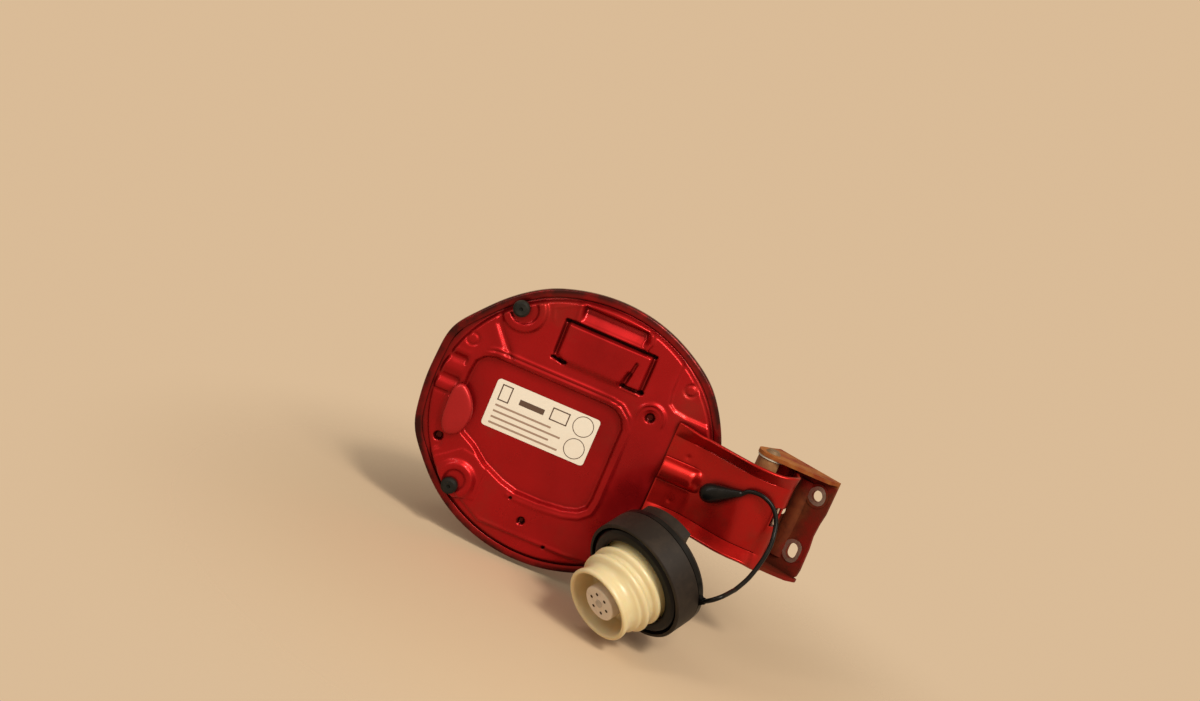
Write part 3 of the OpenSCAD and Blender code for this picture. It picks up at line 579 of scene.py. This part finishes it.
flat_marks("label_rings", [quad for z in (5.9, -8.3) for quad in ring_quads(6.8, z, 6.1, 0.22)], ink)
flat_marks("label_fields", frame_bars(-45.8, -39, 1.2, 10.6, 0.7) + frame_bars(-13.6, -2.6, 2.4, 9.6, 0.7)
           + [bar(-33, -17.5, 4.6, 3.4)], ink)
flat_marks("label_bars", [bar(-45.6, x1, z, 1.15) for x1, z in
                          ((-10.5, -2.2), (-3.2, -5.9), (-9.2, -9.6), (-2.2, -13.2))], ink_soft)

# ---------------------------------------------------------------- gooseneck arm

PIN_X, PIN_Y, ARM_Z = 114.5, 7.0, 3.0
KNUCKLE_R, WEB, FLANGE = 6.8, 21.0, 8.3
ARM_T = 1.6
# flare of the lower and the upper flange in degrees, half width of the rib, welds on the feet
FLARES = (54, 45)
RIB_HALF, RIB_HEIGHT = 6.4, 5.6
FOOT_X, FOOT_ZS = 69.6, (15.1, -13.0)
WINDOW_X, WINDOW_Z = (125.2, 133), (-0.2, 12.0)


def arm_path():
    """Stations (x, y, flare) along the middle of the sheet, flare from 0 (straight up) to 1 (full)."""
    start = [(57, -0.85, 0.2), (61, -0.85, 0.5), (66, -0.85, 0.8), (72, -0.85, 1), (76, -0.9, 1),
             (79, -1.7, 1), (85, -4.8, 1), (91, -8, 1), (97, -11.1, 1), (102, -13.6, 1), (105, -15, 1),
             (109, -15.9, 1), (114, -16.2, 1), (118, -16.2, 1), (121, -16.2, 0.95), (124, -16.1, 0.85)]

    def arc(x, y, radius, degrees, flare):
        return [(x + radius * math.cos(math.radians(a)), y + radius * math.sin(math.radians(a)), flare(a))
                for a in degrees]

    bend = arc(124.4, -9.5, 6.6, range(-75, 1, 15), lambda a: 0.62 * (-a / 75))
    far = [(131, -4, 0), (131, 0, 0), (131, 4, 0)]
    turn = arc(124.4, 7.2, 6.6, range(0, 91, 15), lambda a: 0)
    back = [(119, 13.8, 0), (PIN_X, PIN_Y + KNUCKLE_R, 0)]
    roll = arc(PIN_X, PIN_Y, KNUCKLE_R, range(99, 316, 9), lambda a: 0)
    return np.array(start + bend + far + turn + back + roll)


def resample(path, step):
    """Points every step millimetres along a smooth line through the stations."""
    s = np.r_[0, np.cumsum(np.hypot(*np.diff(path[:, :2], axis=0).T))]
    t = np.linspace(0, s[-1], int(s[-1] / step) + 1)
    out = np.stack([np.interp(t, s, path[:, k]) for k in range(path.shape[1])], 1)
    for _ in range(3):
        out[1:-1] = (out[:-2] + 2 * out[1:-1] + out[2:]) / 4
    return out


def build_arm():
    """The sheet swept along its path: flat web, flared flanges, rib between the feet, window in the bend."""
    path = resample(arm_path(), 0.9)
    d = np.gradient(path[:, :2], axis=0)
    d /= np.linalg.norm(d, axis=1)[:, None]
    normal = np.stack([d[:, 1], -d[:, 0]], 1)
    zs = np.r_[np.linspace(-1, -0.02, 16), np.linspace(0, 1, 61), np.linspace(1.02, 2, 16)]
    points = []
    for (x, y, flare), n in zip(path, normal):
        flares = [math.radians(g * flare) for g in FLARES]
        for u in zs:
            e = flares[int(u > 0.5)]
            reach = FLANGE * (1 + 0.3 * math.sin(e))
            if 0 <= u <= 1:
                z, lift = -WEB + 2 * WEB * u, 0.0
            else:
                side = -1 if u < 0 else 1
                out = (-u if u < 0 else u - 1) * reach
                bent = max(out - 0.8, 0) + 0.8 * smoothstep(out / 1.6) * 0.5
                z = side * (WEB + out * math.cos(e))
                lift = bent * math.sin(e)
            # half round rib between the welded feet, which fades out at the ramp
            if x < 84:
                r = abs(z - 1) / RIB_HALF
                fade = float(smoothstep((83.5 - x) / 6))
                bulge = RIB_HEIGHT * math.sqrt(max(1 - r * r, 0)) if r < 1 else 0
                rise = max(-0.85 - y, 0)
                lift = max(lift, (bulge - rise * 1.1) * fade) if r < 1 else lift
                if x < 76:
                    for foot in FOOT_ZS:
                        g = math.hypot(x - FOOT_X, z + ARM_Z - foot)
                        lift -= 0.5 * math.exp(-((g / 1.5) ** 2))
            points.append((x + n[0] * lift, y + n[1] * lift, ARM_Z + z))
    cols = len(zs)
    faces = []
    for i in range(len(path) - 1):
        x, y = path[i, :2]
        for k in range(cols - 1):
            z = points[i * cols + k][2]
            window = WINDOW_X[0] < x < WINDOW_X[1] and y < -4.5 and WINDOW_Z[0] < z < WINDOW_Z[1]
            if not window:
                faces.append((i * cols + k, (i + 1) * cols + k, (i + 1) * cols + k + 1, i * cols + k + 1))
    obj = make_mesh("arm_sheet", points, faces, "door", ["hinge_arm"])
    # the rolled knuckle is bare and rusty from the turn of the sheet on
    first = len(path) - next(i for i, (x, y, _) in enumerate(path[::-1]) if y > 9 and x > 121)
    worn = np.array([min(f) // cols >= first for f in faces], int)
    thick = obj.modifiers.new("sheet", "SOLIDIFY")
    thick.thickness = ARM_T * MM
    thick.offset = 0
    dress(obj, arm_paint)
    obj.data.materials.append(worn_tan)
    obj.data.polygons.foreach_set("material_index", worn)
    return obj


build_arm()

# ---------------------------------------------------------------- bracket's clamp marks

# ends of the bracket's plate in x and y, the bolt holes' place along it, its near face and the marks' lift
PLATE_FAR, PLATE_NEAR = np.array([PIN_X + 5.5, 26.0]), np.array([PIN_X + 42.5, 3.0])
BOLTS_AT, PLATE_FACE, CLAMP_LIFT = 34.4, 2.2, 0.39
# height of the round hole and of the slot, each with half of what the slot is longer than wide
BOLT_HOLES = ((22.6, 0.0), (-13.4, 1.3))


def build_clamp_marks():
    """Bare rings that the bolt heads have worn round the round hole and the slot."""
    u = (PLATE_NEAR - PLATE_FAR) / np.linalg.norm(PLATE_NEAR - PLATE_FAR)
    out = np.array([u[1], -u[0]])
    points, faces = [], []
    n, inner, outer = 72, 3.42, 5.75
    for z, stretch in BOLT_HOLES:
        start = len(points)
        for r in (inner, outer):
            for k in range(n):
                a = 2 * math.pi * k / n
                ragged = r * (1 + 0.04 * math.sin(3 * a + z)) if r == outer else r
                du = ragged * math.cos(a)
                dz = ragged * math.sin(a) + math.copysign(stretch, math.sin(a))
                x, y = PLATE_FAR + u * (BOLTS_AT + du) + out * (PLATE_FACE + CLAMP_LIFT)
                points.append((x, y, z + dz))
        faces += [[start + i for i in face] for face in tube(2, n)]
    obj = make_mesh("clamp_marks", points, faces, "bracket")
    return dress(obj, steel)


build_clamp_marks()

# ---------------------------------------------------------------- tether

ANCHOR_BACK, ANCHOR_TIP = np.array([87.6, -12.9, 3.4]), np.array([104.9, -18.15, 12.2])
RAMP_OUT = [0.465, 0.885, 0.0]


def build_anchor():
    """A smooth drop lying on the ramp, its round end toward the door."""
    axis = ANCHOR_TIP - ANCHOR_BACK
    length = np.linalg.norm(axis)
    axis /= length
    side = np.cross(axis, RAMP_OUT)
    side /= np.linalg.norm(side)
    up = np.cross(side, axis)
    stations = [(-5.6, 0.0), (-5.4, 1.6), (-4.7, 3.3), (-3.3, 4.7), (-1.5, 5.5), (0.8, 5.7), (3.0, 5.45),
                (6, 4.75), (9, 3.95), (12, 3.2), (15, 2.55), (18, 2.0), (length, 1.5), (length + 0.1, 0.0)]
    n = 32
    angles = np.arange(n) * 2 * math.pi / n
    points = [ANCHOR_BACK + axis * t + r * (math.cos(a) * side + 0.9 * math.sin(a) * up)
              for t, r in stations for a in angles]
    faces = tube(len(stations), n)
    drop = make_mesh("tether_drop", points, faces, "door", ["tether_anchor"])
    return dress(drop, tether_black)


# the route of part.scad in the door's axes
CORD = [
    (104.88, -18.14, 12.22), (107.4, -18.9, 14.8), (112.1, -20.2, 16.1), (116.8, -21.2, 15.8),
    (121.7, -21.9, 13.7), (125.6, -22.6, 10.2), (128.4, -24, 5), (129.6, -27, -1.3), (129.7, -31, -6.2),
    (128.7, -35.5, -11), (127.1, -40.5, -15.6), (125.1, -45.5, -20.1), (122.6, -50.6, -24.4),
    (118.5, -57, -29.4), (116.4, -60.9, -30.5), (114.2, -64.8, -31.6), (112.03, -68.42, -32.57),
    (110.43, -69.78, -33.7), (108.57, -70.28, -35.29), (106.83, -69.77, -37), (105.14, -67.61, -39.09),
    (104.53, -66.49, -39.93)
]
CORD_R = 1.35


def build_cord():
    """The strap as a round curve through the route's points."""
    curve = bpy.data.curves.new("tether_strap", "CURVE")
    curve.dimensions = "3D"
    curve.bevel_depth = CORD_R * MM
    curve.bevel_resolution = 6
    curve.use_fill_caps = True
    spline = curve.splines.new("POLY")
    p = np.array(CORD)
    # smooth cubic pieces through the points
    fine = []
    for i in range(len(p) - 1):
        a, b = p[max(i - 1, 0)], p[i]
        c, d = p[i + 1], p[min(i + 2, len(p) - 1)]
        for t in np.linspace(0, 1, 6, endpoint=False):
            fine.append(0.5 * (2 * b + (c - a) * t + (2 * a - 5 * b + 4 * c - d) * t * t
                               + (3 * b - a - 3 * c + d) * t ** 3))
    fine.append(p[-1])
    pts = row(fine)
    spline.points.add(len(pts) - 1)
    for k, q in enumerate(pts):
        spline.points[k].co = (*q, 1)
    obj = bpy.data.objects.new("tether_strap", curve)
    bpy.context.scene.collection.objects.link(obj)
    obj.data.materials.append(tether_black)
    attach(obj, "door")
    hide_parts("tether_cord")
    return obj


build_anchor()
build_cord()

# ---------------------------------------------------------------- cap

CAP_AT = np.array([65.1, -55.5, -49.3])
CAP_AXIS = np.array([-0.518, -0.674, -0.526])
CAP_AXIS = CAP_AXIS / np.linalg.norm(CAP_AXIS)
CAP_TILT = math.acos(CAP_AXIS[2])
CAP_TURN = math.atan2(CAP_AXIS[1], CAP_AXIS[0])
CAP_ROT = np.array(Matrix.Rotation(CAP_TURN, 3, "Z") @ Matrix.Rotation(CAP_TILT, 3, "Y"))


def on_cap(points):
    """From the cap's own frame, its axis along z out of the opening, to the door's axes."""
    return np.asarray(points, float) @ CAP_ROT.T + CAP_AT


# angle of the cap that faces up in the photo, and the thread's start and end in degrees from there
THREAD_UP, THREAD_START, THREAD_END = 237, -235, 390
# pitch, height over the flange at that angle, half width, and how far it stands out
PITCH, THREAD_Z, THREAD_HALF, THREAD_HEIGHT = 8.4, 7.4, 2.9, 2.5


def thread(angle, z):
    """How far the screw thread stands out of the body at a height and an angle round the cap."""
    out = 0.0
    for turn in (-1, 0, 1):
        run = (angle - THREAD_UP) % 360 + 360 * turn
        if THREAD_START < run < THREAD_END:
            fade = smoothstep((run - THREAD_START) / 45) * smoothstep((THREAD_END - run) / 60)
            t = (z - THREAD_Z - PITCH * run / 360) / THREAD_HALF
            out = max(out, float(fade) * (1 - min(abs(t), 1) ** 2.4) ** 1.3)
    return out


def build_body():
    """Body of the cap: flange, coarse thread, neck and rolled lip outside, bore and floor inside."""
    root = [(23.4, -3.5), (22.9, -1)] + [(22.3, z) for z in np.arange(0.4, 17.3, 0.55)]
    rest = [(21.5, 17.6), (20.7, 18.8), (20.2, 20.2), (20.3, 21.8), (20.9, 23.2), (21.45, 24.5),
            (21.68, 25.6), (21.68, 26.6), (21.4, 27.3), (20.8, 27.75), (20.1, 27.75), (19.5, 27.4),
            (19.15, 26.7), (18.95, 25.4), (18.9, 20), (18.9, 13.2), (18.2, 12.2), (11.9, 12.05), (11.8, 9),
            (11.8, 7.4), (16, 7.4), (16, -3.95), (29.6, -3.95), (29.6, -3.5)]
    n = 180
    angles = np.arange(n) * 360 / n
    profile = root + rest
    points = []
    for k, (r, z) in enumerate(profile):
        for a in angles:
            out = THREAD_HEIGHT * thread(a, z) if 1 < k < len(root) else 0.0
            points.append(((r + out) * math.cos(math.radians(a)), (r + out) * math.sin(math.radians(a)), z))
    faces = tube(len(profile), n, close=True)
    obj = make_mesh("body_shell", on_cap(np.array(points)), faces, "cap_core", ["cap_body"])
    return dress(obj, cream)


build_body()


# height of the valve housing's face and of the boss in its middle, and how far the marks lie above them
VALVE_FACE, VALVE_BOSS, VALVE_LIFT = 25.8, 26.2, 0.03


def valve_discs(name, centres, radius, z, look):
    """Flat discs that face out of the cap, as one piece."""
    n = 24
    angles = np.arange(n) * 2 * math.pi / n
    points = [(cx + radius * math.cos(a), cy + radius * math.sin(a), z) for cx, cy in centres for a in angles]
    faces = [range(i * n, (i + 1) * n) for i in range(len(centres))]
    return dress(make_mesh(name, on_cap(points), faces, "cap_core"), look)


def build_valve_marks():
    """Flat dark discs of painted shade for the mouths of the six holes in the valve housing's face, and its
    greyer middle.
    """
    angles = [math.radians(15 + 60 * k) for k in range(6)]
    mouths = [(6 * math.cos(a), 6 * math.sin(a)) for a in angles]
    valve_discs("valve_mouths", mouths, 1.0, VALVE_FACE + VALVE_LIFT, mouth_dark)
    valve_discs("valve_middle", [(0, 0)], 2.3, VALVE_BOSS + VALVE_LIFT, valve_grey)


def build_gasket():
    """The seal on the body's flange, its edges rounded."""
    profile = soften([(24.8, -3.4), (30.6, -3.4), (31.7, -2.3), (31.7, -0.9), (30.2, 0.4), (26.5, 0.6),
                      (24.8, 0.2)], 1.3)
    ring = lathe("gasket_ring", profile, on_cap, "cap_core", "cap_gasket")
    return dress(ring, gasket_black)


build_valve_marks()
build_gasket()

# ---------------------------------------------------------------- floor, light, camera

BACKDROP, FLOOR = (0.70, 0.50, 0.31), (0.60, 0.44, 0.285)
WORLD_LIT, SUN = 0.30, 1.35
WARM = (1.0, 0.93, 0.82)
# in metres: the floor is whole to the first distance from its middle, and gone at the second
FADE = (0.11, 0.32)
FLOOR_GAP = 0.003
CAMERA_AT = np.array([-5.0, -900.0, 225.0])
CAMERA_AIM = np.array([-1.84, 0.0, 52.35])
CAMERA_ROLL = math.radians(23.24)
LENS = 47.8


def area_light(name, place, target, size, power, colour):
    data = bpy.data.lights.new(name, "AREA")
    data.shape = "RECTANGLE"
    data.size, data.size_y = size
    data.energy = power
    data.color = colour
    obj = bpy.data.objects.new(name, data)
    obj.location = place
    obj.rotation_mode = "QUATERNION"
    obj.rotation_quaternion = (Vector(target) - Vector(place)).to_track_quat("-Z", "Y")
    bpy.context.scene.collection.objects.link(obj)
    return obj


def seen_only(tree):
    """1 for what the camera sees straight, in a reflection or through a clear piece."""
    path = tree.nodes.new("ShaderNodeLightPath")
    last = path.outputs["Is Camera Ray"]
    for name in ("Is Glossy Ray", "Is Transmission Ray"):
        top = tree.nodes.new("ShaderNodeMath")
        top.operation = "MAXIMUM"
        tree.links.new(last, top.inputs[0])
        tree.links.new(path.outputs[name], top.inputs[1])
        last = top.outputs[0]
    return last


def build_world():
    """An even soft light, and the backdrop's colour for whatever the camera sees of the world."""
    world = bpy.data.worlds.new("studio")
    bpy.context.scene.world = world
    world.use_nodes = True
    tree = world.node_tree
    backgrounds = []
    for colour, strength in (((1.0, 0.95, 0.87), WORLD_LIT), (BACKDROP, 1.0)):
        node = tree.nodes.new("ShaderNodeBackground")
        node.inputs["Color"].default_value = (*colour, 1)
        node.inputs["Strength"].default_value = strength
        backgrounds.append(node)
    mix = tree.nodes.new("ShaderNodeMixShader")
    tree.links.new(seen_only(tree), mix.inputs[0])
    tree.links.new(backgrounds[0].outputs[0], mix.inputs[1])
    tree.links.new(backgrounds[1].outputs[0], mix.inputs[2])
    tree.links.new(mix.outputs[0], tree.nodes["World Output"].inputs["Surface"])


def build_floor():
    """A pale floor just under the object, which fades into the backdrop further out."""
    low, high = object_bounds()
    middle = ((low[0] + high[0]) / 2, (low[1] + high[1]) / 2, low[2] - FLOOR_GAP)
    mesh = bpy.data.meshes.new("floor")
    mesh.from_pydata([(-1, -1, 0), (1, -1, 0), (1, 1, 0), (-1, 1, 0)], [], [(0, 1, 2, 3)])
    floor = bpy.data.objects.new("floor", mesh)
    floor.location = middle
    bpy.context.scene.collection.objects.link(floor)
    look = material("floor_pale", FLOOR, roughness=0.95)
    tree = look.node_tree
    place = tree.nodes.new("ShaderNodeTexCoord")
    far = tree.nodes.new("ShaderNodeVectorMath")
    far.operation = "LENGTH"
    tree.links.new(place.outputs["Object"], far.inputs[0])
    fade = tree.nodes.new("ShaderNodeMapRange")
    fade.interpolation_type = "SMOOTHSTEP"
    fade.inputs["From Min"].default_value = FADE[0]
    fade.inputs["From Max"].default_value = FADE[1]
    tree.links.new(far.outputs["Value"], fade.inputs["Value"])
    clear = tree.nodes.new("ShaderNodeBsdfTransparent")
    mix = tree.nodes.new("ShaderNodeMixShader")
    tree.links.new(fade.outputs["Result"], mix.inputs[0])
    tree.links.new(tree.nodes["Principled BSDF"].outputs[0], mix.inputs[1])
    tree.links.new(clear.outputs[0], mix.inputs[2])
    tree.links.new(mix.outputs[0], tree.nodes["Material Output"].inputs["Surface"])
    mesh.materials.append(look)


def build_lights():
    """A soft sun from the upper right, a tall window on the left and a lamp on the right."""
    sun = bpy.data.lights.new("sun", "SUN")
    sun.energy = SUN
    sun.angle = math.radians(9)
    sun.color = WARM
    obj = bpy.data.objects.new("sun", sun)
    obj.rotation_mode = "QUATERNION"
    obj.rotation_quaternion = Vector((0.28, -0.58, 0.77)).to_track_quat("Z", "Y")
    bpy.context.scene.collection.objects.link(obj)
    middle = row([10, 0, 0])
    area_light("window", row([-330, -330, 420]), middle, (0.10, 0.55), 0.9, (1.0, 0.96, 0.90))
    area_light("lamp", row([260, -420, 330]), middle, (0.2, 0.2), 1.6, WARM)


bpy.context.scene.view_settings.view_transform = "Standard"
build_world()
build_floor()
build_lights()


def build_camera():
    """The photo's view: nearly level, rolled against the hinge's axis."""
    data = bpy.data.cameras.new("camera")
    data.lens = LENS
    data.sensor_width = 36
    cam = bpy.data.objects.new("camera", data)
    place, aim = Vector(row(CAMERA_AT)), Vector(row(CAMERA_AIM))
    turn = (aim - place).to_track_quat("-Z", "Y") @ Matrix.Rotation(CAMERA_ROLL, 3, "Z").to_quaternion()
    cam.location = place
    cam.rotation_mode = "QUATERNION"
    cam.rotation_quaternion = turn
    data.clip_start, data.clip_end = 0.01, 20
    bpy.context.scene.collection.objects.link(cam)
    bpy.context.scene.camera = cam


build_camera()
